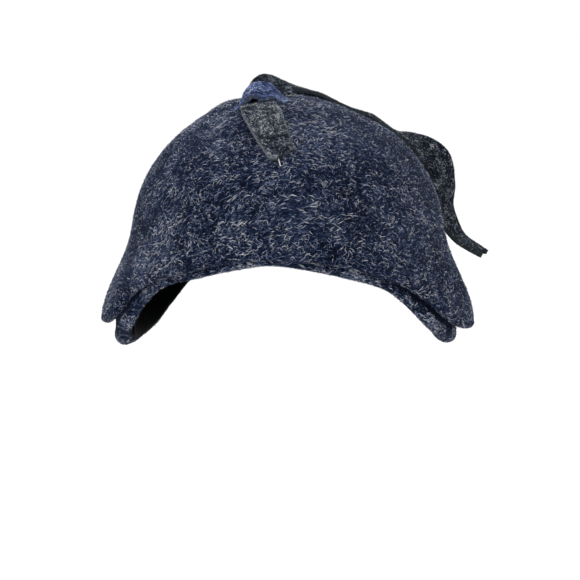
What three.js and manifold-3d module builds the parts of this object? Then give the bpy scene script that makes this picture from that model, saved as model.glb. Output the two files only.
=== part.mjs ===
// A soft felt cap with an arched front rim, a lobe over each ear and a strap threaded through its crown.
// Millimetres. X runs to the right of someone who faces the cap, Y to the back of the head and Z up.
// The origin is the middle of the head opening, at the height of the front rim.
import * as THREE from 'three';
import Module from 'manifold-3d';

// Crown
const crownWidth = 169;       // outside, just above the ears
const crownDepth = 208;       // outside, forehead to nape
const crownRise = 79.5;       // from the widest level to the top
const waistHeight = 2;        // widest level above the front rim
const backSpread = 0.05;      // how much wider the back is than the middle, as a share
const feltWall = 3;

// Flare of the lower edge
const flareReach = 16.5;      // how far the lobes stand out past the waist
const flareTop = 12;          // where the flare starts, above the front rim
const flareBottom = -42;      // where it is complete
const plainFlare = 0.5;       // share of the flare that the front and the nape have

// Lower edge
const lobeDrop = 55;          // lobe tips below the front rim
const bandShow = 5;           // how much of the inner band shows below the crown
const frontRoll = 4.6;        // thickness of a turned edge at the front and the nape
const lobeRoll = 6.8;         // thickness of a turned edge at the lobes
const rollHeight = 14;        // height over which a turned edge thins out

// Inner band, lining and strap
const bandHeight = 26;
const stripFelt = 2.6;        // the thinner felt of the band and of the strap
const liningCloth = 1.2;
const liningStop = 4;         // from the band's edge to the lining's
const strapWidth = 20;
const notchDepth = 3;         // the cut in the strap's free end
const slitGap = 0.7;          // clearance of the slits round the strap
const seatGap = 0.35;         // clearance between pieces that touch

// Fineness of the mesh
const turnSteps = 60;
const bandRows = 6;
const crownRows = 8;
const liningRows = 5;
const rollRows = 4;
const stepsPerRow = 3;         // of the strap and of the bridge

const halfWidth = crownWidth / 2;
const halfDepth = crownDepth / 2;
const quarter = Math.PI / 2;
const shortStep = 0.001;                   // over which slopes and directions are taken
const levelHeight = crownRise * quarter;   // one whole level, measured along the wall at the waist

// Lower edge of the inner band, and how far the crown's edge stays above it.
// turn: degrees from the front; drop: share of lobeDrop; right, left: shares of bandShow.
const edgeRows = [
  { turn: 0, drop: 0.0, right: 0.45, left: 0.45 },
  { turn: 15, drop: 0.035, right: 0.6, left: 0.6 },
  { turn: 30, drop: 0.11, right: 0.7, left: 0.5 },
  { turn: 45, drop: 0.225, right: 0.5, left: 0.3 },
  { turn: 53, drop: 0.355, right: 0.8, left: 0.6 },
  { turn: 60, drop: 0.535, right: 1.4, left: 1.2 },
  { turn: 67, drop: 0.74, right: 1.6, left: 1.6 },
  { turn: 77, drop: 0.9, right: 1.5, left: 2.2 },
  { turn: 92, drop: 0.98, right: 1.8, left: 2.6 },
  { turn: 105, drop: 1.0, right: 1.8, left: 2.4 },
  { turn: 117, drop: 0.93, right: 1.5, left: 1.7 },
  { turn: 126, drop: 0.76, right: 1.2, left: 1.2 },
  { turn: 134, drop: 0.5, right: 1.0, left: 1.0 },
  { turn: 145, drop: 0.3, right: 0.8, left: 0.8 },
  { turn: 180, drop: 0.24, right: 0.7, left: 0.7 },
];

// The strap where it lies on the crown, from its short end over the front to the right rear.
// across, back: shares of the crown's half width and half depth; side: 1 on the felt, 0 level with it,
// as it is between the slits; lift: extra height in layers of strap; heading: direction of the strap's
// width in plan, in degrees from X; tip: how far that direction leaves the felt; wide: share of strapWidth.
const threadedRows = [
  { across: 0.06, back: -0.765, side: 1, lift: 0.05, heading: 199, tip: 0, wide: 0.88 },
  { across: 0.01, back: -0.69, side: 1, lift: 0.1, heading: 198, tip: 0, wide: 0.96 },
  { across: -0.04, back: -0.59, side: 1, lift: 0.15, heading: 196, tip: 0, wide: 1.02 },
  { across: -0.085, back: -0.48, side: 1, lift: 0.2, heading: 192, tip: 0, wide: 1.08 },
  { across: -0.125, back: -0.385, side: 1, lift: 0.1, heading: 188, tip: 0, wide: 1.0 },
  { across: -0.14, back: -0.32, side: 0.7, lift: 0.0, heading: 186, tip: 0, wide: 0.88 },
  { across: -0.15, back: -0.26, side: 0.15, lift: 0.0, heading: 184, tip: 0, wide: 0.78 },
  { across: -0.155, back: -0.2, side: 0.15, lift: 0.0, heading: 181, tip: 0, wide: 0.74 },
  { across: -0.155, back: -0.145, side: 0.75, lift: 0.0, heading: 177, tip: 5, wide: 0.76 },
  { across: -0.145, back: -0.095, side: 1, lift: 0.5, heading: 171, tip: 16, wide: 0.84 },
  { across: -0.12, back: -0.05, side: 1, lift: 1.25, heading: 163, tip: 27, wide: 0.92 },
  { across: -0.08, back: 0.0, side: 1, lift: 1.4, heading: 155, tip: 29, wide: 0.98 },
  { across: -0.03, back: 0.06, side: 1, lift: 1.2, heading: 149, tip: 25, wide: 1.0 },
  { across: 0.03, back: 0.145, side: 1, lift: 0.8, heading: 146, tip: 15, wide: 1.0 },
  { across: 0.09, back: 0.235, side: 1, lift: 0.45, heading: 144, tip: 3, wide: 1.0 },
  { across: 0.165, back: 0.325, side: 1, lift: 0.15, heading: 142, tip: 0, wide: 1.0 },
  { across: 0.285, back: 0.42, side: 1, lift: 0.15, heading: 134, tip: 0, wide: 1.0 },
  { across: 0.43, back: 0.45, side: 1, lift: 0.2, heading: 114, tip: 0, wide: 1.0 },
  { across: 0.58, back: 0.43, side: 1, lift: 0.8, heading: 108, tip: 8, wide: 1.0 },
];
const slitRows = { first: 4, last: 9 };    // the strap's rows on either side of the slits

// The bridge of felt between the slits, from its left end to its right end. Columns as above.
const bridgeRows = [
  { across: -0.335, back: -0.26, side: 0, lift: 0.05, heading: 88, tip: 0, wide: 0.5 },
  { across: -0.295, back: -0.255, side: 0, lift: 0.3, heading: 84, tip: 4, wide: 0.62 },
  { across: -0.258, back: -0.245, side: 0, lift: 1.15, heading: 78, tip: 12, wide: 0.78 },
  { across: -0.217, back: -0.23, side: 0, lift: 2.05, heading: 74, tip: 18, wide: 0.94 },
  { across: -0.165, back: -0.22, side: 0, lift: 2.35, heading: 80, tip: 14, wide: 1.0 },
  { across: -0.11, back: -0.215, side: 0, lift: 1.85, heading: 90, tip: 6, wide: 1.0 },
  { across: -0.06, back: -0.21, side: 0, lift: 1.05, heading: 98, tip: 0, wide: 0.9 },
  { across: -0.025, back: -0.21, side: 0, lift: 0.3, heading: 100, tip: 0, wide: 0.8 },
  { across: 0.01, back: -0.215, side: 0, lift: 0.05, heading: 100, tip: 0, wide: 0.7 },
];

// The strap's free end, in the air beside the crown.
// across, back: as above; up: share of crownRise above the waist; heading, tip: from the horizontal.
const hangingRows = [
  { across: 0.755, back: 0.46, up: 0.645, heading: 93, tip: 22, wide: 1.0 },
  { across: 0.91, back: 0.49, up: 0.505, heading: 50, tip: 28, wide: 1.0 },
  { across: 0.95, back: 0.5, up: 0.33, heading: 55, tip: 10, wide: 1.0 },
  { across: 0.955, back: 0.51, up: 0.18, heading: 62, tip: 2, wide: 1.0 },
  { across: 1.0, back: 0.52, up: 0.055, heading: 68, tip: 6, wide: 0.92 },
  { across: 1.07, back: 0.52, up: -0.05, heading: 78, tip: 8, wide: 0.82 },
  { across: 1.22, back: 0.5, up: -0.15, heading: 86, tip: 8, wide: 0.74 },
];

const wasm = await Module();
wasm.setup();

const mix = (from, to, share) => from + (to - from) * share;

function smooth(share) {
  const held = Math.min(1, Math.max(0, share));
  return held * held * (3 - 2 * held);
}

// A value from a table's column, on a smooth curve through the rows.
function alongEdge(column, turn) {
  const degrees = Math.abs(THREE.MathUtils.radToDeg(Math.atan2(Math.sin(turn), Math.cos(turn))));
  const last = edgeRows.length - 1;
  let row = 0;
  while (row < last - 1 && edgeRows[row + 1].turn < degrees) row += 1;
  const slope = (at) => {
    if (at === 0 || at === last) return 0;
    const [before, after] = [edgeRows[at - 1], edgeRows[at + 1]];
    return (after[column] - before[column]) / (after.turn - before.turn);
  };
  const [here, next] = [edgeRows[row], edgeRows[row + 1]];
  const span = next.turn - here.turn;
  const t = (degrees - here.turn) / span;
  const [t2, t3] = [t * t, t * t * t];
  return here[column] * (2 * t3 - 3 * t2 + 1) + next[column] * (3 * t2 - 2 * t3)
    + span * (slope(row) * (t3 - 2 * t2 + t) + slope(row + 1) * (t3 - t2));
}

const sideness = (turn) => Math.sin(turn) ** 2;
const rollAt = (turn) => mix(frontRoll, lobeRoll, sideness(turn));
const bandEdge = (turn) => -lobeDrop * alongEdge('drop', turn);

// How much longer a distance square to the lower edge is when it is measured straight up.
function steepness(turn) {
  const slope = (bandEdge(turn + shortStep) - bandEdge(turn - shortStep)) / (2 * shortStep * halfWidth);
  return Math.hypot(1, slope);
}

function crownEdge(turn) {
  const hand = Math.sin(turn) > 0 ? 'right' : 'left';
  return bandEdge(turn) + bandShow * alongEdge(hand, turn);
}

// A level is 0 at the waist, 1 at the top and negative below the waist.
function levelOf(height) {
  const rise = height - waistHeight;
  return rise > 0 ? Math.asin(Math.min(1, rise / crownRise)) / quarter : rise / levelHeight;
}

function heightOf(level) {
  return waistHeight + (level > 0 ? crownRise * Math.sin(level * quarter) : level * levelHeight);
}

// The outside of the crown at a turn from the front and a level.
function skin(turn, level) {
  const height = heightOf(level);
  const radius = level > 0 ? Math.cos(level * quarter) : 1;
  const [across, back] = [radius * Math.sin(turn), -radius * Math.cos(turn)];
  const lowness = smooth((flareTop - height) / (flareTop - flareBottom));
  const flare = flareReach * mix(plainFlare, 1, sideness(turn)) * lowness;
  const x = halfWidth * (1 + backSpread * back) * across + flare * Math.sin(turn);
  const y = halfDepth * back - flare * Math.cos(turn);
  return new THREE.Vector3(x, y, height);
}

// The direction out of the felt, from two short steps over the skin.
function outward(turn, level) {
  const held = Math.min(level, 1 - 2 * shortStep);
  const along = skin(turn + shortStep, held).sub(skin(turn - shortStep, held));
  const up = skin(turn, held + shortStep).sub(skin(turn, held - shortStep));
  return along.cross(up).normalize();
}

// A point under the skin, at a depth into the felt.
function under(turn, height, depth) {
  const level = levelOf(height);
  return skin(turn, level).addScaledVector(outward(turn, level), -depth);
}

// How deep a layer's inner side lies when its edge is rolled: its wall, and more towards the edge.
function rolled(wall, roll, aboveEdge) {
  return mix(wall, roll, 1 - smooth((aboveEdge - roll / 2) / rollHeight));
}

function crownInside(turn, height) {
  const roll = rollAt(turn);
  return rolled(feltWall, roll, Math.max(roll / 2, height - crownEdge(turn)));
}

const bandOutside = (turn, height) => crownInside(turn, height) + seatGap;

function bandInside(turn, height) {
  return bandOutside(turn, height) + rolled(stripFelt, rollAt(turn), height - bandEdge(turn));
}

const liningOutside = (turn, height) => bandInside(turn, height) + 2 * seatGap;

// Points of a round edge, from the outer side at depthOut to the inner side at depthIn.
function roundEdge(turn, edge, depthOut, depthIn) {
  const radius = (depthIn - depthOut) / 2;
  return Array.from({ length: rollRows }, (_, row) => {
    const angle = Math.PI * (row + 1) / (rollRows + 1);
    const depth = depthOut + radius * (1 - Math.cos(angle));
    return under(turn, edge + radius * (1 - Math.sin(angle)), depth);
  });
}

// Heights shared by the crown, the band and the lining, so that their facets lie side by side.
function heightsInBand(turn) {
  const [low, high] = [crownEdge(turn) + rollAt(turn) / 2, bandEdge(turn) + bandHeight];
  return Array.from({ length: bandRows }, (_, row) => mix(low, high, row / (bandRows - 1)));
}

// Heights from the band's upper edge to just below the top.
function heightsAbove(turn, rows) {
  const low = levelOf(bandEdge(turn) + bandHeight);
  return Array.from({ length: rows }, (_, row) => heightOf(mix(low, 1, (row + 1) / (rows + 1))));
}

// Each column of points runs from the top down the outside, round the edge and up the inside.
function columnOf(turn, edge, heights, outside, inside) {
  const down = [...heights].reverse().map((height) => under(turn, height, outside(turn, height)));
  const up = heights.map((height) => under(turn, height, inside(turn, height)));
  const [depthOut, depthIn] = [outside(turn, heights[0]), inside(turn, heights[0])];
  return [...down, ...roundEdge(turn, edge, depthOut, depthIn), ...up];
}

function geometryOf(points, faces) {
  const geometry = new THREE.BufferGeometry();
  const places = points.flatMap((point) => point.toArray());
  geometry.setAttribute('position', new THREE.Float32BufferAttribute(places, 3));
  geometry.setIndex(faces.flat());
  geometry.computeVertexNormals();
  return geometry;
}

// Joins neighbouring columns of points round the head. A top and a bottom point close a dome;
// without them each column closes on itself, as a ring does.
function roundTheHead(columnAt, poles) {
  const turns = Array.from({ length: turnSteps }, (_, step) => 2 * Math.PI * step / turnSteps);
  const columns = turns.map(columnAt);
  const rows = columns[0].length;
  const points = columns.flat();
  const faces = [];
  const lastRow = poles ? rows - 1 : rows;
  for (let step = 0; step < turnSteps; step += 1) {
    const [here, next] = [step * rows, ((step + 1) % turnSteps) * rows];
    for (let row = 0; row < lastRow; row += 1) {
      const below = (row + 1) % rows;
      faces.push([here + row, here + below, next + below], [here + row, next + below, next + row]);
    }
    if (poles) {
      faces.push([points.length, here, next], [points.length + 1, next + rows - 1, here + rows - 1]);
    }
  }
  return geometryOf(poles ? [...points, ...poles] : points, faces);
}

const topPoint = (depth) => new THREE.Vector3(0, 0, waistHeight + crownRise - depth);

// A station of the strap on, in or under the felt.
function threadedStation(row) {
  const radius = Math.hypot(row.across, row.back);
  const turn = Math.atan2(row.across, -row.back);
  const level = Math.acos(radius) / quarter;
  const out = outward(turn, level);
  const toFelt = feltWall / 2 + seatGap + stripFelt / 2;
  const offset = -feltWall / 2 + row.side * toFelt + row.lift * (stripFelt + seatGap);
  const heading = THREE.MathUtils.degToRad(row.heading);
  const tip = THREE.MathUtils.degToRad(row.tip);
  const flat = new THREE.Vector3(Math.cos(heading), Math.sin(heading), 0).projectOnPlane(out).normalize();
  const wide = flat.multiplyScalar(Math.cos(tip)).addScaledVector(out, Math.sin(tip));
  return { at: skin(turn, level).addScaledVector(out, offset), wide, width: row.wide * strapWidth };
}

// A station of the strap in the air.
function hangingStation(row) {
  const x = halfWidth * (1 + backSpread * row.back) * row.across;
  const at = new THREE.Vector3(x, halfDepth * row.back, waistHeight + crownRise * row.up);
  const wide = new THREE.Vector3().setFromSphericalCoords(
    1,
    quarter - THREE.MathUtils.degToRad(row.tip),
    THREE.MathUtils.degToRad(row.heading),
  );
  wide.set(wide.z, wide.x, wide.y);
  return { at, wide, width: row.wide * strapWidth };
}

// Smooth curves through a strip's stations: its middle, the direction of its width and its width.
function stripOf(stations) {
  const curve = (pointAt) => new THREE.CatmullRomCurve3(stations.map(pointAt), false, 'centripetal');
  return {
    stations,
    middle: curve((station) => station.at),
    across: curve((station) => station.wide),
    widths: curve((station, index) => new THREE.Vector3(index, station.width, 0)),
  };
}

const strap = stripOf([...threadedRows.map(threadedStation), ...hangingRows.map(hangingStation)]);
const bridge = stripOf(bridgeRows.map(threadedStation));

// Half of a strip's section with cut corners, as shares of its half width and half thickness.
const cutCorner = { sideways: 0.94, upwards: 0.45 };

// A strip of felt swept from one station to another, grown all round by a clearance.
function sweep(strip, first, last, clearance) {
  const { sideways: narrow, upwards: low } = cutCorner;
  const section = [
    [-1, -low], [-narrow, -1], [narrow, -1], [1, -low],
    [1, low], [narrow, 1], [-narrow, 1], [-1, low],
  ];
  const points = [];
  for (let step = first * stepsPerRow; step <= last * stepsPerRow; step += 1) {
    const share = step / stepsPerRow / (strip.stations.length - 1);
    const middle = strip.middle.getPoint(share);
    const along = strip.middle.getTangent(share);
    const wide = strip.across.getPoint(share).projectOnPlane(along).normalize();
    const thick = along.clone().cross(wide);
    const halfStrip = strip.widths.getPoint(share).y / 2 + clearance;
    const halfFelt = stripFelt / 2 + clearance;
    section.forEach(([sideways, upwards]) => points.push(middle.clone()
      .addScaledVector(wide, sideways * halfStrip)
      .addScaledVector(thick, upwards * halfFelt)));
  }
  const round = section.length;
  const end = points.length - round;
  const faces = [];
  for (let from = 0; from < end; from += round) {
    for (let side = 0; side < round; side += 1) {
      const [here, next] = [from + side, from + (side + 1) % round];
      faces.push([here, next, next + round], [here, next + round, here + round]);
    }
  }
  for (let side = 1; side < round - 1; side += 1) {
    faces.push([0, side + 1, side], [end, end + side, end + side + 1]);
  }
  return geometryOf(points, faces);
}

function toSolid(geometry) {
  const vertProperties = Float32Array.from(geometry.attributes.position.array);
  const triVerts = Uint32Array.from(geometry.index.array);
  return new wasm.Manifold(new wasm.Mesh({ numProp: 3, vertProperties, triVerts }));
}

function toGeometry(solid) {
  const { vertProperties, triVerts } = solid.getMesh();
  const geometry = new THREE.BufferGeometry();
  geometry.setAttribute('position', new THREE.Float32BufferAttribute(vertProperties, 3));
  geometry.setIndex([...triVerts]);
  geometry.computeVertexNormals();
  return geometry;
}

function bandGeometry() {
  const column = (turn) => {
    const heights = [bandEdge(turn) + rollAt(turn) / 2, ...heightsInBand(turn)];
    return columnOf(turn, bandEdge(turn), heights, bandOutside, bandInside);
  };
  return roundTheHead(column, null);
}

function crownGeometry() {
  const column = (turn) => {
    const heights = [...heightsInBand(turn), ...heightsAbove(turn, crownRows)];
    return columnOf(turn, crownEdge(turn), heights, () => 0, crownInside);
  };
  const dome = toSolid(roundTheHead(column, [topPoint(0), topPoint(feltWall)]));
  const raised = toSolid(sweep(bridge, 0, bridgeRows.length - 1, 0));
  const slits = toSolid(sweep(strap, slitRows.first, slitRows.last, slitGap));
  return toGeometry(dome.add(raised).subtract(slits));
}

function liningGeometry() {
  const inside = (turn, height) => liningOutside(turn, height) + liningCloth;
  const column = (turn) => {
    const edge = bandEdge(turn) + liningStop * steepness(turn);
    const heights = [edge + liningCloth / 2, ...heightsInBand(turn), ...heightsAbove(turn, liningRows)];
    return columnOf(turn, edge, heights, liningOutside, inside);
  };
  const topDepth = feltWall + stripFelt + 3 * seatGap;
  return roundTheHead(column, [topPoint(topDepth), topPoint(topDepth + liningCloth)]);
}

// The strap with a small wedge cut out of its free end.
function strapGeometry() {
  const whole = toSolid(sweep(strap, 0, strap.stations.length - 1, 0));
  const [before, tip] = strap.stations.slice(-2);
  const along = tip.at.clone().sub(before.at).normalize();
  const wide = tip.wide.clone().projectOnPlane(along).normalize();
  const thick = along.clone().cross(wide);
  const outline = [[-notchDepth, 0], [notchDepth, -tip.width / 2], [notchDepth, tip.width / 2]];
  const corners = [-stripFelt, stripFelt].flatMap((upwards) => outline.map(
    ([forward, sideways]) => tip.at.clone()
      .addScaledVector(along, forward)
      .addScaledVector(wide, sideways)
      .addScaledVector(thick, upwards),
  ));
  const faces = [
    [0, 2, 1], [3, 4, 5],
    [0, 1, 4], [0, 4, 3],
    [1, 2, 5], [1, 5, 4],
    [2, 0, 3], [2, 3, 5],
  ];
  return toGeometry(whole.subtract(toSolid(geometryOf(corners, faces))));
}

function piece(name, geometry, finish) {
  const mesh = new THREE.Mesh(geometry, new THREE.MeshStandardMaterial(finish));
  mesh.name = name;
  return mesh;
}

const heatheredNavy = { color: '#2f3d55', roughness: 0.95, metalness: 0 };
const heatheredGrey = { color: '#454c56', roughness: 0.95, metalness: 0 };
const blackCloth = { color: '#07080b', roughness: 0.8, metalness: 0 };

const cap = new THREE.Group();
cap.add(
  piece('crown', crownGeometry(), heatheredNavy),
  piece('inner_band', bandGeometry(), heatheredNavy),
  piece('lining', liningGeometry(), blackCloth),
  piece('strap', strapGeometry(), heatheredGrey),
);

export default cap;
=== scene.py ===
import math

import bpy
import numpy as np
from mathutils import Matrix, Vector


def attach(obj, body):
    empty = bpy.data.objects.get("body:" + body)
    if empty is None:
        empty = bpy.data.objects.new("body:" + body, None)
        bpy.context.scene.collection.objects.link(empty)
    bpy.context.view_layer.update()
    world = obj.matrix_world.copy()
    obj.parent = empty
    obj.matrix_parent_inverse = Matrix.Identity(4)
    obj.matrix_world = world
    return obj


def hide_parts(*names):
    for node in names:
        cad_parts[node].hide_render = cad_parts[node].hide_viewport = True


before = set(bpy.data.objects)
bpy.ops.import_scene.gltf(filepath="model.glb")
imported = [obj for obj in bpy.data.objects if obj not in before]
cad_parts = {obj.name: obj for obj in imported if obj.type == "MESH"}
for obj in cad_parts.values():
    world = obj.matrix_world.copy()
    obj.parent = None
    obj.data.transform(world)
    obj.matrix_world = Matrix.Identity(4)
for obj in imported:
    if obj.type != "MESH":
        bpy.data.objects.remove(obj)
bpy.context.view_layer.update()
print("frame loaded")

mm = 0.001
scene = bpy.context.scene

# Camera and studio

camera = {
    "azimuth": 5.5, "elevation": 5.0, "distance": 1.3,   # degrees, degrees, metres
    "middle": (0, 0, 0.02),                              # the point that azimuth and elevation turn about
    "frameWidth": 0.3132,                                # what the frame spans at that point
    "aimRight": 0.0016, "aimDown": 0.0448,               # from that point to the frame's centre
    "sensor": 36, "near": 0.05, "far": 50,               # millimetres, metres, metres
}


def addCamera():
    azimuth, elevation = math.radians(camera["azimuth"]), math.radians(camera["elevation"])
    away = Vector((math.sin(azimuth) * math.cos(elevation),
                   -math.cos(azimuth) * math.cos(elevation), math.sin(elevation)))
    right = Vector((math.cos(azimuth), math.sin(azimuth), 0))
    up = away.cross(right)
    middle = Vector(camera["middle"])
    place = middle + away * camera["distance"]
    aim = middle + right * camera["aimRight"] - up * camera["aimDown"]
    data = bpy.data.cameras.new("camera")
    data.sensor_width = camera["sensor"]
    data.lens = camera["sensor"] * camera["distance"] / camera["frameWidth"]
    data.clip_start, data.clip_end = camera["near"], camera["far"]
    eye = bpy.data.objects.new("camera", data)
    eye.location = place
    eye.rotation_euler = (aim - place).to_track_quat("-Z", "Y").to_euler()
    scene.collection.objects.link(eye)
    scene.camera = eye


studio = {
    "floorHeight": -0.35, "floorSize": 60.0,
    "sky": 1.12,               # light from all round, bright enough to turn the paper white
    "background": 1.05,        # what the camera sees of the sky
    "paper": "#f4f4f4", "paperRoughness": 0.9,
    "lights": (                # place, size, watts
        ((0.9, -0.8, 1.3), 0.9, 6.5),
        ((-1.1, -0.6, 1.2), 0.9, 16.0),
        ((0.1, 0.6, 1.6), 1.0, 14.0),
    ),
}


def linear(hexColour):
    shares = [int(hexColour[at:at + 2], 16) / 255 for at in (1, 3, 5)]
    return [s / 12.92 if s <= 0.04045 else ((s + 0.055) / 1.055) ** 2.4 for s in shares] + [1.0]


# A number names a socket by its place. Mix: 0 is the share, 2 and 3 are numbers, 6 and 7 colours.
# Map Range: 1 and 2 are the range that comes in, 3 and 4 the range that goes out.
def addNode(tree, kind, settings=None, values=None, links=None):
    node = tree.nodes.new(kind)
    for name, value in (settings or {}).items():
        setattr(node, name, value)
    for socket, value in (values or {}).items():
        node.inputs[socket].default_value = value
    for socket, source in (links or {}).items():
        tree.links.new(source, node.inputs[socket])
    return node


def addStudio():
    half = studio["floorSize"] / 2
    data = bpy.data.meshes.new("studio_floor")
    corners = [(-half, -half), (half, -half), (half, half), (-half, half)]
    data.from_pydata([(x, y, studio["floorHeight"]) for x, y in corners], [], [(0, 1, 2, 3)])
    floor = bpy.data.objects.new("studio_floor", data)
    scene.collection.objects.link(floor)
    paper = bpy.data.materials.new("matt white paper")
    paper.use_nodes = True
    shader = paper.node_tree.nodes["Principled BSDF"]
    shader.inputs["Base Color"].default_value = linear(studio["paper"])
    shader.inputs["Roughness"].default_value = studio["paperRoughness"]
    data.materials.append(paper)
    for index, (place, size, power) in enumerate(studio["lights"]):
        lamp = bpy.data.lights.new(f"soft_box_{index + 1}", "AREA")
        lamp.size, lamp.energy = size, power
        box = bpy.data.objects.new(lamp.name, lamp)
        box.location = place
        box.rotation_euler = (-Vector(place)).to_track_quat("-Z", "Y").to_euler()
        scene.collection.objects.link(box)
    world = bpy.data.worlds.new("white studio")
    world.use_nodes = True
    tree = world.node_tree
    tree.nodes.clear()
    path = addNode(tree, "ShaderNodeLightPath")
    strength = addNode(tree, "ShaderNodeMix", {"data_type": "FLOAT"},
                       {2: studio["sky"], 3: studio["background"]}, {0: path.outputs["Is Camera Ray"]})
    sky = addNode(tree, "ShaderNodeBackground", None, {"Color": (1, 1, 1, 1)},
                  {"Strength": strength.outputs[0]})
    addNode(tree, "ShaderNodeOutputWorld", None, None, {"Surface": sky.outputs[0]})
    scene.world = world
    scene.view_settings.view_transform = "Standard"


addCamera()
addStudio()
print("camera and studio made")

# Shape of the cap, in millimetres. It repeats the sizes of the solids.

cap = {
    "halfWidth": 84.5, "halfDepth": 104.0, "rise": 79.5, "waist": 2.0, "backSpread": 0.05,
    "felt": 3.0, "flareReach": 16.5, "flareTop": 12.0, "flareBottom": -42.0, "plainFlare": 0.5,
    "lobeDrop": 55.0, "bandShow": 5.0, "frontRoll": 4.6, "lobeRoll": 6.8, "rollHeight": 14.0,
    "bandHeight": 26.0, "strip": 2.6, "cloth": 1.2, "liningStop": 4.0, "strapWidth": 20.0,
    "notch": 3.0, "seat": 0.35,
    "nap": 0.35,               # height of the brushed nap
    "bandRoll": 9.6,           # thickness of the band's fold at a lobe
    "tipGap": (2.8, 0.9),      # how far the band's tip stands in from the crown's, right and left
    "gapHeight": 12.0,         # how far up that gap reaches
    "lobePower": 10,           # how closely the thick fold and the gap keep to the lobes
    "sideBlend": 0.2,          # width of the blend from the left half's edge to the right half's
}
# turn in degrees from the front, drop of the band's edge and height of the crown's edge, right and left
edgeRows = np.array((
    (0, 0.0, 0.0, 0.45, 0.45), (15, 0.035, 0.045, 0.6, 0.6), (30, 0.11, 0.13, 0.7, 0.5),
    (45, 0.215, 0.212, 0.5, 0.3), (53, 0.335, 0.318, 0.8, 0.6), (60, 0.505, 0.492, 1.4, 1.2),
    (67, 0.69, 0.72, 1.6, 1.6), (77, 0.855, 0.925, 1.4, 2.2), (92, 0.96, 1.02, 1.6, 2.6),
    (105, 1.0, 1.02, 1.7, 2.4), (117, 0.93, 0.945, 1.5, 1.7), (126, 0.76, 0.76, 1.2, 1.2),
    (134, 0.5, 0.49, 1.0, 1.0), (145, 0.3, 0.285, 0.8, 0.8), (180, 0.24, 0.24, 0.7, 0.7),
))
quarter = math.pi / 2


def mix(low, high, share):
    return low + (high - low) * share


def smooth(share):
    held = np.clip(share, 0, 1)
    return held * held * (3 - 2 * held)


def alongEdge(column, turn):
    degrees = np.abs(np.degrees(np.arctan2(np.sin(turn), np.cos(turn))))
    turns, values = edgeRows[:, 0], edgeRows[:, column]
    slopes = np.zeros(len(turns))
    slopes[1:-1] = (values[2:] - values[:-2]) / (turns[2:] - turns[:-2])
    row = np.clip(np.searchsorted(turns, degrees, side="left") - 1, 0, len(turns) - 2)
    span = turns[row + 1] - turns[row]
    t = (degrees - turns[row]) / span
    t2, t3 = t * t, t * t * t
    return (values[row] * (2 * t3 - 3 * t2 + 1) + values[row + 1] * (3 * t2 - 2 * t3)
            + span * (slopes[row] * (t3 - 2 * t2 + t) + slopes[row + 1] * (t3 - t2)))


def rollAt(turn):
    return mix(cap["frontRoll"], cap["lobeRoll"], np.sin(turn) ** 2)


def onSides(right, left, turn):
    share = smooth(0.5 + np.sin(turn) / cap["sideBlend"])
    return mix(alongEdge(left, turn), alongEdge(right, turn), share)


def bandEdge(turn):
    return -cap["lobeDrop"] * onSides(1, 2, turn)


def crownEdge(turn):
    return bandEdge(turn) + cap["bandShow"] * onSides(3, 4, turn)


def levelOf(height):
    rise = height - cap["waist"]
    above = np.arcsin(np.clip(rise / cap["rise"], 0, 1)) / quarter
    return np.where(rise > 0, above, rise / (cap["rise"] * quarter))


def heightOf(level):
    above = np.sin(np.clip(level, 0, 1) * quarter)
    return cap["waist"] + cap["rise"] * np.where(level > 0, above, level * quarter)


def skin(turn, level):
    height = heightOf(level)
    radius = np.where(level > 0, np.cos(np.clip(level, 0, 1) * quarter), 1.0)
    across, back = radius * np.sin(turn), -radius * np.cos(turn)
    lowness = smooth((cap["flareTop"] - height) / (cap["flareTop"] - cap["flareBottom"]))
    flare = cap["flareReach"] * mix(cap["plainFlare"], 1, np.sin(turn) ** 2) * lowness
    x = cap["halfWidth"] * (1 + cap["backSpread"] * back) * across + flare * np.sin(turn)
    y = cap["halfDepth"] * back - flare * np.cos(turn)
    return np.stack(np.broadcast_arrays(x, y, height), axis=-1)


def unit(vectors):
    return vectors / np.maximum(np.linalg.norm(vectors, axis=-1, keepdims=True), 1e-12)


def outward(turn, level):
    step = 0.001
    held = np.minimum(level, 1 - 2 * step)
    along = skin(turn + step, held) - skin(turn - step, held)
    rise = skin(turn, held + step) - skin(turn, held - step)
    return unit(np.cross(along, rise))


def under(turn, height, depth):
    level = levelOf(height)
    return skin(turn, level) - outward(turn, level) * np.asarray(depth)[..., None]


def rolled(wall, turn, aboveEdge):
    roll = rollAt(turn)
    return mix(wall, roll, 1 - smooth((aboveEdge - roll / 2) / cap["rollHeight"]))


def crownInside(turn, height):
    return rolled(cap["felt"], turn, np.maximum(rollAt(turn) / 2, height - crownEdge(turn)))


# Every wall below is a depth under the skin, so the outside of the crown lies at no depth.
def crownOutside(turn, height):
    return 0 * turn * height


def atLobes(turn):
    return np.sin(turn) ** cap["lobePower"]


def bandRollAt(turn):
    return mix(cap["frontRoll"], cap["bandRoll"], atLobes(turn))


def bandOutside(turn, height):
    low = 1 - smooth((height - crownEdge(turn)) / cap["gapHeight"])
    right, left = cap["tipGap"]
    gap = np.where(np.sin(turn) > 0, right, left) * atLobes(turn)
    return crownInside(turn, height) + cap["seat"] + gap * low


def bandInside(turn, height):
    roll = bandRollAt(turn)
    share = 1 - smooth((height - bandEdge(turn) - roll / 2) / cap["rollHeight"])
    return bandOutside(turn, height) + mix(cap["strip"], roll, share)


def liningOutside(turn, height):
    return bandInside(turn, height) + 2 * cap["seat"]


def liningInside(turn, height):
    return liningOutside(turn, height) + cap["cloth"]


# Meshes from grids of points

# how steeply the streaks of wool climb, and how that varies from left to right
combing = {"climb": 0.21, "bend": 0.0033}


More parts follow.
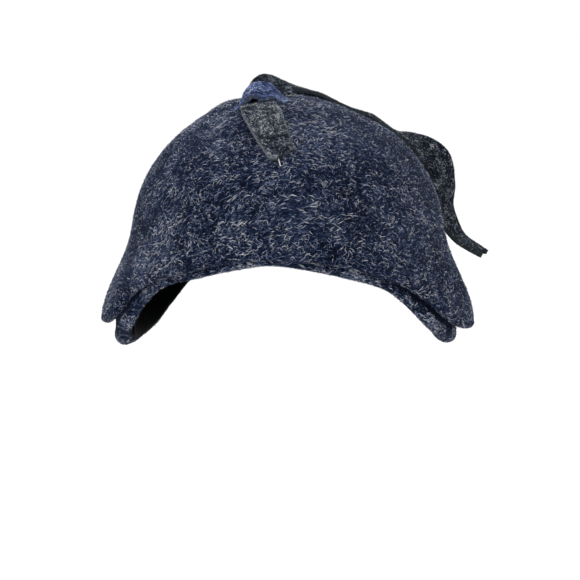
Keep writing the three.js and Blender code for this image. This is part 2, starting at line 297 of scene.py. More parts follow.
def makePiece(name, points, faces, attributes=None):
    data = bpy.data.meshes.new(name)
    data.from_pydata((points * mm).tolist(), [], faces)
    data.polygons.foreach_set("use_smooth", [True] * len(data.polygons))
    # coordinates in which every streak of wool is level
    x = points[:, 0]
    comb = points - np.outer(combing["climb"] * x - combing["bend"] * x * x, [0, 0, 1.0])
    for label, values in {**(attributes or {}), "comb": comb * mm}.items():
        kind = "FLOAT_VECTOR" if values.ndim == 2 else "FLOAT"
        field = "vector" if values.ndim == 2 else "value"
        store = data.attributes.new(label, kind, "POINT")
        store.data.foreach_set(field, np.asarray(values, dtype=np.float32).ravel())
    data.update()
    piece = bpy.data.objects.new(name, data)
    scene.collection.objects.link(piece)
    return piece


def gridFaces(columns, rows, closedRows):
    here = np.arange(columns)[:, None] * rows
    there = (np.arange(columns)[:, None] + 1) % columns * rows
    count = rows if closedRows else rows - 1
    row = np.arange(count)[None, :]
    below = (row + 1) % rows
    quads = np.stack([here + row, here + below, there + below, there + row], axis=-1)
    return quads.reshape(-1, 4).tolist()


def topFaces(columns, rows, last):
    # fans that close the top, outside and inside, on the last two points
    faces = []
    for column in range(columns):
        here, there = column * rows, (column + 1) % columns * rows
        faces += [(last - 2, here, there), (last - 1, there + rows - 1, here + rows - 1)]
    return faces


def sweptFaces(count, ring):
    # sides of a strip or tube that is swept through rings, and its two ends
    faces = [(at * ring + step, at * ring + (step + 1) % ring,
              (at + 1) * ring + (step + 1) % ring, (at + 1) * ring + step)
             for at in range(count - 1) for step in range(ring)]
    last = (count - 1) * ring
    return faces + [tuple(range(ring - 1, -1, -1)), tuple(range(last, last + ring))]


# Smooth curve through stations, and a strip swept along it

def curveThrough(points, shares):
    points = np.asarray(points, dtype=float)
    before, after = 2 * points[:1] - points[1:2], 2 * points[-1:] - points[-2:-1]
    held = np.concatenate([before, points, after])
    place = np.clip(shares, 0, 1) * (len(points) - 1)
    index = np.minimum(place.astype(int), len(points) - 2)
    w = (place - index)[:, None]
    p0, p1, p2, p3 = (held[index + step] for step in range(4))
    gaps = [np.maximum(np.linalg.norm(b - a, axis=1, keepdims=True), 1e-8) ** 0.5
            for a, b in ((p0, p1), (p1, p2), (p2, p3))]
    first = ((p1 - p0) / gaps[0] - (p2 - p0) / (gaps[0] + gaps[1]) + (p2 - p1) / gaps[1]) * gaps[1]
    last = ((p2 - p1) / gaps[1] - (p3 - p1) / (gaps[1] + gaps[2]) + (p3 - p2) / gaps[2]) * gaps[1]
    return (p1 + first * w + (3 * (p2 - p1) - 2 * first - last) * w ** 2
            + (2 * (p1 - p2) + first + last) * w ** 3)


# Crown

crown = {
    "turns": 360, "rollRows": 10, "bandRows": 16, "sideRows": 58, "topRows": 74, "insideRows": 10,
    "unevenness": 0.5, "unevennessLength": 42.0,       # how far the felt wanders from the plain form
    "unevennessSeed": 3, "calmHeight": 12.0,           # the edge stays even up to this height
    "topFrom": 0.7,                                    # the level where the rows get closer
    # place, spread in both directions, direction in degrees, height: the pull of the strap on the felt
    "pulls": (
        (-32, -12, 11, 8, 70, 1.8), (-26, -38, 5, 14, 20, 0.8), (0.5, -7.6, 5.0, 2.0, 12, 2.6),
        (8, -26, 4, 13, -60, 0.7), (-8, -60, 16, 5, 10, -0.5),
    ),
    "shoulder": (34, -2, 24, 32, 0, -2.9),             # the right shoulder sinks, with the strap on it
    "slitEnd": (-0.4, -11.2, 4.0, 2.2, 12, -4.2),      # the open end of the rear slit, below its lip
    "pulledAbove": 30,                                 # the height above which a pull acts
    "clearAbove": 40, "clearGap": 0.25, "clearReach": 2.0,     # where the felt gives way to the strap
    "climb": (12, 30),                                 # degrees that the fibres climb, and how that varies
}


def pulled(points, pulls):
    height = np.zeros(points.shape[:-1])
    for x, y, wide, deep, direction, lift in pulls:
        angle = math.radians(direction)
        dx, dy = points[..., 0] - x, points[..., 1] - y
        along = dx * math.cos(angle) + dy * math.sin(angle)
        beside = dy * math.cos(angle) - dx * math.sin(angle)
        height += lift * np.exp(-((along / wide) ** 2 + (beside / deep) ** 2))
    return height * (points[..., 2] > crown["pulledAbove"])


bridge = {"thickness": 3.0, "corner": 1.1, "cornerSteps": 4, "acrossSteps": 22, "alongSteps": 90,
          "faceAt": 45, "unevenness": 0.35, "unevennessLength": 16.0, "seed": 5,
          "clearGap": 0.35, "clearReach": 1.0}
strap = {"thickness": cap["strip"], "corner": 0.75, "cornerSteps": 3, "acrossSteps": 18, "alongSteps": 420,
         "faceAt": 20, "unevenness": 0.3, "unevennessLength": 16.0, "seed": 8,
         "endRound": 2.6,                              # the corners of the short end
         "skew": (0.7, 0.24), "skewLength": 12.0,      # the short end is cut at a slant
         "ragged": 0.36, "raggedWaves": 9, "notchLength": 9.0}
# how far in from its sides a strip shows its cut edge, and how much thinner the wool is there
cutEdge = {"width": 0.9, "bare": 0.8}

# Stations along the strap and the bridge, listed one by one. Across and back are shares of the cap's half
# width and half depth. Side is 0 in the felt and 1 on it, and lift counts thicknesses of strap above that.
# Heading and tip are the degrees that the strip's width turns by, and wide is its share of the full width.
# across, back, side, lift, heading, tip, wide
threadedRows = (
    (0.065, -0.765, 1, 0.25, 205, 0, 0.76), (0.008, -0.695, 1, 0.12, 203, 0, 0.84),
    (-0.048, -0.593, 1, 0.08, 200, 0, 0.93), (-0.097, -0.48, 1, 0.12, 195, 0, 0.98),
    (-0.135, -0.385, 1, 0.1, 190, 0, 0.92), (-0.145, -0.32, 0.7, 0.0, 187, 0, 0.82),
    (-0.15, -0.26, 0.15, 0.0, 184, 0, 0.78), (-0.155, -0.2, 0.15, 0.0, 181, 0, 0.74),
    (-0.155, -0.145, 0.75, 0.0, 177, 5, 0.76), (-0.14, -0.095, 1, 0.45, 171, 16, 0.8),
    (-0.112, -0.05, 1, 1.15, 163, 27, 0.88), (-0.074, 0.0, 1, 1.4, 155, 29, 0.96),
    (-0.026, 0.06, 1, 1.25, 149, 25, 1.0), (0.03, 0.145, 1, 0.8, 146, 15, 1.0),
    (0.09, 0.245, 1, 0.25, 144, 3, 1.0), (0.165, 0.385, 1, 0.15, 140, 1, 1.0),
    (0.285, 0.48, 1, 0.4, 126, 2, 1.0), (0.43, 0.495, 1, 1.1, 110, 4, 1.0),
    (0.58, 0.455, 1, 1.15, 104, 8, 1.0),
)
bridgeRows = (
    (-0.31, -0.305, 0, 0.05, 84, -4, 0.5), (-0.275, -0.3, 0, 0.25, 80, -4, 0.62),
    (-0.238, -0.288, 0, 0.8, 76, 2, 0.78), (-0.2, -0.266, 0, 1.55, 76, 8, 0.94),
    (-0.15, -0.247, 0, 2.05, 82, 12, 1.12), (-0.095, -0.249, 0, 1.8, 90, 8, 1.16),
    (-0.045, -0.254, 0, 1.15, 98, 0, 1.14), (-0.005, -0.262, 0, 0.4, 100, 0, 1.0),
    (0.03, -0.272, 0, 0.05, 100, 0, 0.8),
)
# where the strap hangs free: across, back, up, heading, tip, wide
hangingRows = (
    (0.755, 0.46, 0.645, 93, 22, 1.0), (0.91, 0.49, 0.505, 50, 28, 1.0), (0.95, 0.5, 0.33, 55, 10, 1.0),
    (0.955, 0.51, 0.18, 62, 2, 1.0), (1.0, 0.52, 0.055, 68, 6, 0.92), (1.07, 0.52, -0.05, 78, 8, 0.82),
    (1.22, 0.5, -0.15, 86, 8, 0.74),
)


def threadedStation(row):
    across, back, side, lift, heading, tip, wide = row
    turn, level = math.atan2(across, -back), math.acos(math.hypot(across, back)) / quarter
    out = outward(turn, level)
    toFelt = (cap["felt"] + cap["strip"]) / 2 - cap["nap"] / 2
    offset = -cap["felt"] / 2 + side * toFelt + lift * (cap["strip"] + cap["seat"])
    flat = np.array([math.cos(math.radians(heading)), math.sin(math.radians(heading)), 0])
    flat = unit(flat - out * np.dot(flat, out))
    turned = flat * math.cos(math.radians(tip)) + out * math.sin(math.radians(tip))
    at = skin(turn, level)
    return at + out * (offset + pulled(at, (crown["shoulder"],))), turned, wide * cap["strapWidth"]


def hangingStation(row):
    across, back, up, heading, tip, wide = row
    at = np.array([cap["halfWidth"] * (1 + cap["backSpread"] * back) * across,
                   cap["halfDepth"] * back, cap["waist"] + cap["rise"] * up])
    heading, tip = math.radians(heading), math.radians(tip)
    turned = np.array([math.cos(tip) * math.cos(heading), math.cos(tip) * math.sin(heading), math.sin(tip)])
    return at, turned, wide * cap["strapWidth"]


def stripFrames(stations, settings):
    shares = np.linspace(0, 1, settings["alongSteps"])
    middle = curveThrough([s[0] for s in stations], shares)
    along = unit(np.gradient(middle, axis=0))
    wide = curveThrough([s[1] for s in stations], shares)
    wide = unit(wide - along * np.sum(wide * along, axis=1, keepdims=True))
    widths = curveThrough([(index, s[2], 0) for index, s in enumerate(stations)], shares)[:, 1]
    walked = np.concatenate([[0], np.cumsum(np.linalg.norm(np.diff(middle, axis=0), axis=1))])
    thick = np.cross(along, wide)
    # the side that faces out of the felt
    sign = 1 if thick[settings["faceAt"]][2] > 0 else -1
    return {"middle": middle, "along": along, "wide": wide, "thick": thick, "sign": sign,
            "half": widths / 2, "walked": walked, "shares": shares}


strapStations = [threadedStation(row) for row in threadedRows]
strapStations += [hangingStation(row) for row in hangingRows]
bridgeStations = [threadedStation(row) for row in bridgeRows]
strapFrames = stripFrames(strapStations, strap)
bridgeFrames = stripFrames(bridgeStations, bridge)


def waver(points, wavelength, seed, waves=7):
    # a smooth unevenness from a few waves in chance directions
    rng = np.random.default_rng(seed)
    total = np.zeros(points.shape[:-1])
    for direction in unit(rng.normal(size=(waves, 3))):
        pace = 2 * math.pi / (wavelength * rng.uniform(0.7, 1.5))
        total += np.sin(points @ direction * pace + rng.uniform(0, 2 * math.pi))
    return total / waves


def sectionAround(halfWide, halfThick, corner, steps):
    rim = []
    for sideways, upwards, start in ((1, -1, -90), (1, 1, 0), (-1, 1, 90), (-1, -1, 180)):
        for step in range(steps + 1):
            angle = math.radians(start + 90 * step / steps)
            rim.append((sideways * (halfWide - corner) + corner * math.cos(angle),
                        upwards * (halfThick - corner) + corner * math.sin(angle)))
    return np.array(rim)


# points at a time, and how far off a strip and from its middle line a point may be
clearing = {"chunk": 4000, "height": 6.0, "distance": 14.0}


def pushClear(points, frames, gap, upwards, reach):
    # moves points that lie inside a strip, or too near it, out through one of its faces
    moved = points.copy()
    for at in range(0, len(points), clearing["chunk"]):
        part = points[at:at + clearing["chunk"]]
        far = np.linalg.norm(part[:, None, :] - frames["middle"][None], axis=2)
        nearest = far.argmin(axis=1)
        offset = part - frames["middle"][nearest]
        sideways = np.abs(np.sum(offset * frames["wide"][nearest], axis=1))
        height = np.sum(offset * frames["thick"][nearest], axis=1) * frames["sign"]
        limit = cap["strip"] / 2 + gap
        beside = smooth((frames["half"][nearest] + reach - sideways) / reach)
        lack = limit - height if upwards else limit + height
        close = far[np.arange(len(part)), nearest] < clearing["distance"]
        inside = (lack > 0) & (np.abs(height) < clearing["height"]) & close
        push = np.where(inside, lack * beside, 0) * (1 if upwards else -1) * frames["sign"]
        moved[at:at + clearing["chunk"]] += push[:, None] * frames["thick"][nearest]
    return moved


# Columns of points that run down the outside of a layer, round its fold and up its inside.
def layerColumns(turns, edge, heights, outside, inside, rollRows, insideHeights):
    turn = turns[:, None]
    down = heights[:, ::-1]
    outer = under(turn, down, outside(turn, down))
    low = heights[:, :1]
    depthOut, depthIn = outside(turn, low), inside(turn, low)
    radius = (depthIn - depthOut) / 2
    angle = math.pi * (np.arange(rollRows) + 1)[None, :] / (rollRows + 1)
    depth = depthOut + radius * (1 - np.cos(angle))
    fold = under(turn, edge[:, None] + radius * (1 - np.sin(angle)), depth)
    inner = under(turn, insideHeights, inside(turn, insideHeights))
    return np.concatenate([outer, fold, inner], axis=1)


def buildCrown():
    turns = np.linspace(0, 2 * math.pi, crown["turns"], endpoint=False)
    edge = crownEdge(turns)
    low = edge + rollAt(turns) / 2
    high = bandEdge(turns) + cap["bandHeight"]
    inBand = mix(low[:, None], high[:, None], np.linspace(0, 1, crown["bandRows"])[None, :])
    start = levelOf(high)[:, None]
    side = mix(start, crown["topFrom"], np.linspace(0, 1, crown["sideRows"] + 1)[None, 1:])
    top = mix(crown["topFrom"], 1, np.linspace(0, 1, crown["topRows"] + 2)[None, 1:-1])
    above = heightOf(np.concatenate([side, np.broadcast_to(top, (len(turns), crown["topRows"]))], axis=1))
    heights = np.concatenate([inBand, above], axis=1)
    steps = np.linspace(0, 1, crown["insideRows"] + 2)[None, 1:-1]
    insideHeights = np.concatenate([inBand, heightOf(mix(start, 1, steps))], axis=1)
    grid = layerColumns(turns, edge, heights, crownOutside, crownInside, crown["rollRows"], insideHeights)
    outerRows = heights.shape[1]
    level = levelOf(heights[:, ::-1])
    normal = outward(turns[:, None], level)
    outer = grid[:, :outerRows]
    calm = smooth((outer[..., 2] - edge[:, None]) / crown["calmHeight"])
    lift = waver(outer, crown["unevennessLength"], crown["unevennessSeed"]) * crown["unevenness"] * calm
    lift += pulled(outer, crown["pulls"] + (crown["shoulder"], crown["slitEnd"])) - cap["nap"]
    grid[:, :outerRows] += normal * lift[..., None]
    rows = grid.shape[1]
    points = grid.reshape(-1, 3)
    near = (points[:, 2] > crown["clearAbove"]) & (np.arange(len(points)) % rows < outerRows)
    points[near] = pushClear(points[near], strapFrames, crown["clearGap"], False, crown["clearReach"])
    topOut, topIn = cap["waist"] + cap["rise"] - cap["nap"], cap["waist"] + cap["rise"]
    points = np.concatenate([points, [[0, 0, topOut], [0, 0, topIn - cap["felt"]]]])
    faces = gridFaces(len(turns), rows, False) + topFaces(len(turns), rows, len(points))
    # fibres follow the flow: round the head, climbing on the left
    turn = np.repeat(turns, rows)
    steady, varying = crown["climb"]
    climb = np.radians(steady - varying * np.sin(turn))
    row = np.tile(np.arange(rows), len(turns))
    around = np.stack([np.cos(turn), np.sin(turn), 0 * turn], axis=1)
    flow = around * np.cos(climb)[:, None] + np.array([0, 0, 1.0]) * np.sin(climb)[:, None]
    fur = (row < outerRows + crown["rollRows"] - 2).astype(float)
    flow = np.concatenate([flow, [[1, 0, 0], [1, 0, 0]]])
    fur = np.concatenate([fur, [1, 0]])
    return makePiece("crown_felt", points, faces, {"flow": flow, "fur": fur})


crownFelt = buildCrown()
print("crown made")

# Bridge of felt over the strap, and the strap

def stripRims(frames, settings):
    corner, corners = settings["corner"], 2 * (settings["cornerSteps"] + 1)
    halfThick = settings["thickness"] / 2
    flat = np.linspace(-1, 1, settings["acrossSteps"])[1:-1]
    rims = []
    for half in frames["half"]:
        rim = sectionAround(half, halfThick, corner, settings["cornerSteps"])
        below = np.stack([flat * (half - corner), np.full(len(flat), -halfThick)], axis=1)
        above = np.stack([-flat * (half - corner), np.full(len(flat), halfThick)], axis=1)
        rims.append(np.concatenate([below, rim[:corners], above, rim[corners:]]))
    return np.array(rims)


def buildStrip(name, frames, settings, shape):
    rims = stripRims(frames, settings)
    wide, thick, half = frames["wide"][:, None], frames["thick"][:, None], frames["half"][:, None]
    points = shape(frames["middle"][:, None] + wide * rims[..., :1] + thick * rims[..., 1:], rims)
    bend = waver(points, settings["unevennessLength"], settings["seed"]) * settings["unevenness"]
    normal = unit(wide * (rims[..., :1] / half[..., None]) ** 7 + thick * rims[..., 1:])
    points = points + normal * bend[..., None]
    cut = np.clip((np.abs(rims[..., 0]) - half + cutEdge["width"]) / cutEdge["width"], 0, 1).ravel()
    place = np.repeat(frames["shares"], rims.shape[1])
    flow = np.repeat(frames["along"], rims.shape[1], axis=0)
    return makePiece(name, points.reshape(-1, 3), sweptFaces(*rims.shape[:2]),
                     {"flow": flow, "cut": cut, "place": place, "fur": 1 - cutEdge["bare"] * cut})


def bridgeClear(points, rims):
    clear = pushClear(points.reshape(-1, 3), strapFrames, bridge["clearGap"], True, bridge["clearReach"])
    return clear.reshape(points.shape)


def strapEnds(points, rims):
    walked, half = strapFrames["walked"], strapFrames["half"]
    rounding = strap["endRound"]
    left = np.clip(rounding - walked, 0, rounding)
    lost = rounding - np.sqrt(np.maximum(rounding ** 2 - left ** 2, 0))
    narrow = (half - lost) / half
    sideways = rims[..., :1] * (narrow - 1)[:, None, None]
    points = points + strapFrames["wide"][:, None] * sideways
    near = (1 - smooth(walked / strap["skewLength"]))[:, None]
    middle, slant = strap["skew"]
    skew = near * (middle + slant * rims[..., 0])
    far = smooth((walked - walked[-1] + strap["notchLength"]) / strap["notchLength"])[:, None]
    share = np.abs(rims[..., 0]) / half[:, None]
    ragged = strap["ragged"] * np.sin(share * strap["raggedWaves"])
    notch = (cap["notch"] * (1 - share) - ragged) * far
    return points - strapFrames["along"][:, None] * (skew + notch)[..., None]


bridgeFelt = buildStrip("bridge_felt", bridgeFrames, bridge, bridgeClear)
strapFelt = buildStrip("strap_felt", strapFrames, strap, strapEnds)
print("bridge and strap made")

# Inner band and lining

band = {
    "turns": 300, "rollRows": 12, "sideRows": 14,
    "unevenness": 0.35, "unevennessLength": 30.0, "unevennessSeed": 11,
    "unevenSpread": 0.6, "furSpread": 0.75,       # shares of the fold's rows
    "shadeFrom": 2.5, "shadeBlend": 1.5,      # rows from the middle of the fold to where the band's inside is painted near black as shade
}
lining = {"turns": 240, "rollRows": 3, "bandRows": 14, "topRows": 34, "slopeStep": 0.01,
          "wrinkle": 0.35, "wrinkleLength": 14.0, "wrinkleSeed": 17}


def buildBand():
    turns = np.linspace(0, 2 * math.pi, band["turns"], endpoint=False)
    edge = bandEdge(turns)
    low, high = edge + bandRollAt(turns) / 2, edge + cap["bandHeight"]
    heights = mix(low[:, None], high[:, None], np.linspace(0, 1, band["sideRows"])[None, :])
    grid = layerColumns(turns, edge, heights, bandOutside, bandInside, band["rollRows"], heights)
    rows = grid.shape[1]
    row = np.arange(rows)
    wander = waver(grid, band["unevennessLength"], band["unevennessSeed"]) * band["unevenness"]
    fromFold = row - band["sideRows"] - band["rollRows"] / 2
    onRoll = np.exp(-(fromFold / (band["rollRows"] * band["unevenSpread"])) ** 2)
    grid[..., 2] += wander * onRoll[None, :]
    # painted shade: past the fold the band's inside goes near black, as if unlit, and carries no fibres
    insideShade = np.tile(smooth((fromFold - band["shadeFrom"]) / band["shadeBlend"]), len(turns))
    fur = np.tile(np.abs(fromFold) < band["rollRows"] * band["furSpread"], len(turns)) * (1 - insideShade)
    turn = np.repeat(turns, rows)
    flow = np.stack([np.cos(turn), np.sin(turn), 0 * turn], axis=1)
    return makePiece("band_felt", grid.reshape(-1, 3), gridFaces(len(turns), rows, True),
                     {"flow": flow, "fur": fur, "insideShade": insideShade})


def buildLining():
    turns = np.linspace(0, 2 * math.pi, lining["turns"], endpoint=False)
    step = lining["slopeStep"]
    slope = (bandEdge(turns + step) - bandEdge(turns - step)) / (2 * step * cap["halfWidth"])
    edge = bandEdge(turns) + cap["liningStop"] * np.hypot(1, slope)
    low, high = edge + cap["cloth"] / 2, bandEdge(turns) + cap["bandHeight"]
    inBand = mix(low[:, None], high[:, None], np.linspace(0, 1, lining["bandRows"])[None, :])
    steps = np.linspace(0, 1, lining["topRows"] + 2)[None, 1:-1]
    above = heightOf(mix(levelOf(high)[:, None], 1, steps))
    heights = np.concatenate([inBand, above], axis=1)
    grid = layerColumns(turns, edge, heights, liningOutside, liningInside, lining["rollRows"], heights)
    rows = grid.shape[1]
    innerFrom = heights.shape[1] + lining["rollRows"]
    inward = -outward(turns[:, None], levelOf(heights))
    wave = waver(grid[:, innerFrom:], lining["wrinkleLength"], lining["wrinkleSeed"]) * lining["wrinkle"]
    grid[:, innerFrom:] += inward * np.abs(wave)[..., None]
    depth = cap["felt"] + cap["strip"] + 3 * cap["seat"]
    top = cap["waist"] + cap["rise"] - depth
    points = np.concatenate([grid.reshape(-1, 3), [[0, 0, top], [0, 0, top - cap["cloth"]]]])
    faces = gridFaces(len(turns), rows, False) + topFaces(len(turns), rows, len(points))
    return makePiece("lining_cloth", points, faces)


bandFelt = buildBand()
liningCloth = buildLining()
print("band and lining made")


# Thread end and stitches

def buildTube(name, points, settings):
    count, sides = settings["alongSteps"], settings["sides"]
    middle = curveThrough(points, np.linspace(0, 1, count))
    along = unit(np.gradient(middle, axis=0))
    wide = unit(np.cross(along, np.array([0.1, 0.2, 1.0])))
    thick = np.cross(along, wide)
    angle = 2 * math.pi * np.arange(sides) / sides
    radii = mix(settings["radius"], settings["endRadius"], np.linspace(0, 1, count) ** 2)[:, None, None]
    rings = middle[:, None] + radii * (wide[:, None] * np.cos(angle)[None, :, None]
                                       + thick[:, None] * np.sin(angle)[None, :, None])
    return makePiece(name, rings.reshape(-1, 3), sweptFaces(count, sides))


def onFelt(x, y, height):
    # a point over the crown's felt at a place in plan
    back = y / cap["halfDepth"]
    across = x / (cap["halfWidth"] * (1 + cap["backSpread"] * back))
    turn, level = math.atan2(across, -back), math.acos(min(1, math.hypot(across, back))) / quarter
    return skin(turn, level) + outward(turn, level) * height


# places on the felt in plan and heights over it
thread = {"line": ((3.2, -80.6, 0.2), (3.7, -82.2, 1.1), (4.2, -83.6, 1.3), (4.9, -85.0, 0.9)),
          "radius": 0.26, "endRadius": 0.18, "sides": 8, "alongSteps": 14}
stitching = {"places": ((1.2, -15.5), (3.4, -14.2), (5.2, -12.2)), "reach": 1.2,
             "line": ((-0.5, -1, -0.6), (-0.2, -0.4, 0.35), (0.2, 0.4, 0.45), (0.5, 1, -0.5)),
             "radius": 0.22, "endRadius": 0.2, "sides": 6, "alongSteps": 10}
threadEnd = buildTube("thread_end", [onFelt(*place) for place in thread["line"]], thread)
slitStitches = []
for index, (x, y) in enumerate(stitching["places"]):
    line = [onFelt(x + stitching["reach"] * across, y + stitching["reach"] * back, height)
            for across, back, height in stitching["line"]]
    slitStitches.append(buildTube(f"slit_stitch_{index + 1}", line, stitching))
print("thread and stitches made")

# Materials

def newMaterial(name):
    material = bpy.data.materials.new(name)
    material.use_nodes = True
    material.node_tree.nodes.clear()
    return material, material.node_tree


# Wool felt: wet wool matted and brushed, then blocked. Dark fibres with paler ones all through,
# cloudy patches, a soft light edge where the nap stands up, and no gloss.
feltLook = {
    "navy": ("#010206", "#070f22", "#303c58"),
    "blue": ("#030610", "#141f39", "#566488"),
    "grey": ("#020407", "#0f141b", "#475061"),
    "steps": (0.6, 0.7, 0.84),   # where the dark, the middle and the pale shade begin
    # the last colour here is painted shade, near black, for the band's unlit inside
    "nap": "#8f9cd0", "cutEdge": "#6f797e", "shadeBlack": "#020304",
    "streak": (4.5, 0.5),        # millimetres along and across a streak of fibres
    "wander": (12, 3.2),         # millimetres from bend to bend of a streak, and how far it bends
    "speck": 1.6,                # millimetres across a speck
    "cloud": 26.0,               # millimetres across a pale or dark cloud
    "speckShare": 0.45, "cloudShare": 0.35,
    "grain": 0.7,                # millimetres from fibre to fibre in the bump, and its height
    "bump": 0.9, "tailShadeOver": (0.12, 0.4),     # shares of the strip's length over which painted shade darkens it towards the tail
    "roughness": 0.95, "specular": 0.03, "sheenRoughness": 0.4,
}


def feltMaterial(name, colours, sheen, cut=0, insideShade=False, tailShade=0):
    material, tree = newMaterial(name)
    look = feltLook
    bendLength, bendReach = look["wander"]
    place = addNode(tree, "ShaderNodeTexCoord")
    warp = addNode(tree, "ShaderNodeTexNoise", None, {"Scale": 1 / (bendLength * mm), "Detail": 2.0},
                   {"Vector": place.outputs["Object"]})
    combed = addNode(tree, "ShaderNodeAttribute", {"attribute_name": "comb"})
    shifted = addNode(tree, "ShaderNodeVectorMath", {"operation": "MULTIPLY_ADD"},
                      {1: (bendReach * mm,) * 3}, {0: warp.outputs["Color"], 2: combed.outputs["Vector"]})
    along, across = look["streak"]
    stretched = addNode(tree, "ShaderNodeMapping", None,
                        {"Scale": (1 / (along * mm), 1 / (across * mm), 1 / (across * mm))},
                        {"Vector": shifted.outputs[0]})
    streaks = addNode(tree, "ShaderNodeTexNoise", None, {"Scale": 1.0, "Detail": 5.0, "Roughness": 0.72},
                      {"Vector": stretched.outputs[0]})
    clouds = addNode(tree, "ShaderNodeTexNoise", None,
                     {"Scale": 1 / (look["cloud"] * mm), "Detail": 4.0, "Roughness": 0.62},
                     {"Vector": place.outputs["Object"]})
    specks = addNode(tree, "ShaderNodeTexNoise", None,
                     {"Scale": 1 / (look["speck"] * mm), "Detail": 4.0, "Roughness": 0.8},
                     {"Vector": shifted.outputs[0]})
    both = addNode(tree, "ShaderNodeMix", {"data_type": "FLOAT"}, {0: look["speckShare"]},
                   {2: streaks.outputs[0], 3: specks.outputs[0]})
    shade = addNode(tree, "ShaderNodeMath", {"operation": "MULTIPLY_ADD"}, {1: look["cloudShare"]},
                    {0: clouds.outputs[0], 2: both.outputs[0]})
    ramp = addNode(tree, "ShaderNodeValToRGB", None, None, {"Fac": shade.outputs[0]})
    dark, middle, pale = look["steps"]
    ramp.color_ramp.elements[0].position = dark
    ramp.color_ramp.elements[1].position = pale
    ramp.color_ramp.elements.new(middle)
    for element, colour in zip(ramp.color_ramp.elements, colours):
        element.color = linear(colour)
    colour = ramp.outputs["Color"]
    if cut:
        edge = addNode(tree, "ShaderNodeAttribute", {"attribute_name": "cut"})
        share = addNode(tree, "ShaderNodeMath", {"operation": "MULTIPLY"}, {1: cut},
                        {0: edge.outputs["Fac"]})
        worn = addNode(tree, "ShaderNodeMix", {"data_type": "RGBA"}, {7: linear(look["cutEdge"])},
                       {0: share.outputs[0], 6: colour})
        colour = worn.outputs[2]
    # painted shade: near black on the band's inside, where no light reaches
    if insideShade:
        inside = addNode(tree, "ShaderNodeAttribute", {"attribute_name": "insideShade"})
        shadedInside = addNode(tree, "ShaderNodeMix", {"data_type": "RGBA"}, {7: linear(look["shadeBlack"])},
                        {0: inside.outputs["Fac"], 6: colour})
        colour = shadedInside.outputs[2]
    # painted shade: the strap darkens along its length towards the tail, whose visible side is its back, in
    # shadow
    if tailShade:
        near, far = look["tailShadeOver"]
        length = addNode(tree, "ShaderNodeAttribute", {"attribute_name": "place"})
        tailShading = addNode(tree, "ShaderNodeMapRange", None, {1: near, 2: far, 3: 0.0, 4: tailShade},
                         {0: length.outputs["Fac"]})
        tailShaded = addNode(tree, "ShaderNodeMix", {"data_type": "RGBA"}, {7: linear(colours[0])},
                        {0: tailShading.outputs[0], 6: colour})
        colour = tailShaded.outputs[2]
    grain = addNode(tree, "ShaderNodeTexNoise", None,
                    {"Scale": 1 / (look["grain"] * mm), "Detail": 4.0, "Roughness": 0.7},
                    {"Vector": shifted.outputs[0]})
    height = addNode(tree, "ShaderNodeMath", {"operation": "ADD"}, None,
                     {0: grain.outputs[0], 1: streaks.outputs[0]})
    bump = addNode(tree, "ShaderNodeBump", None, {"Strength": look["bump"], "Distance": look["grain"] * mm},
                   {"Height": height.outputs[0]})
    shader = addNode(tree, "ShaderNodeBsdfPrincipled", None,
                     {"Roughness": look["roughness"], "Specular IOR Level": look["specular"],
                      "Sheen Weight": sheen, "Sheen Roughness": look["sheenRoughness"],
                      "Sheen Tint": linear(look["nap"])},
                     {"Base Color": colour, "Normal": bump.outputs[0]})
    addNode(tree, "ShaderNodeOutputMaterial", None, None, {"Surface": shader.outputs[0]})
    return material


# Loose wool fibres: crimped hairs, cream, grey and blue, that lie on the felt and catch the light.
# A real one is 0.03 mm thick. They are drawn several times as wide, so that they can be seen.
fibreLook = {
    "pale": ("#020612", "#15213b", "#5f6c88", "#b3b4b8"),
    "blue": ("#0e1a3a", "#3f5082", "#8290bd", "#b8c0d2"),
    "grey": ("#0b1119", "#38424f", "#80878f", "#b9b7b2"),
    "steps": (0.35, 0.8),        # tones of the second and the third colour
    "roughness": 0.85, "specular": 0.05,
}


def fibreMaterial(name, colours):
    material, tree = newMaterial(name)
    tone = addNode(tree, "ShaderNodeAttribute", {"attribute_name": "tone"})
    ramp = addNode(tree, "ShaderNodeValToRGB", None, None, {"Fac": tone.outputs["Fac"]})
    for step in fibreLook["steps"]:
        ramp.color_ramp.elements.new(step)
    for element, colour in zip(ramp.color_ramp.elements, colours):
        element.color = linear(colour)
    shader = addNode(tree, "ShaderNodeBsdfPrincipled", None,
                     {"Roughness": fibreLook["roughness"], "Specular IOR Level": fibreLook["specular"]},
                     {"Base Color": ramp.outputs["Color"]})
    addNode(tree, "ShaderNodeOutputMaterial", None, None, {"Surface": shader.outputs[0]})
    return material


ridge = 1 / 3.2        # how far it is from ridge to ridge in a wave texture at scale 1

# Polyester twill lining: woven, dyed black. Matt and nearly black, with a faint diagonal.
# The real diagonal is 0.3 mm. It is drawn at 0.9 mm so that it doesn't turn to noise.
liningLook = {"dark": "#000101", "light": "#010203", "twill": 0.9, "roughness": 0.75, "specular": 0.01}


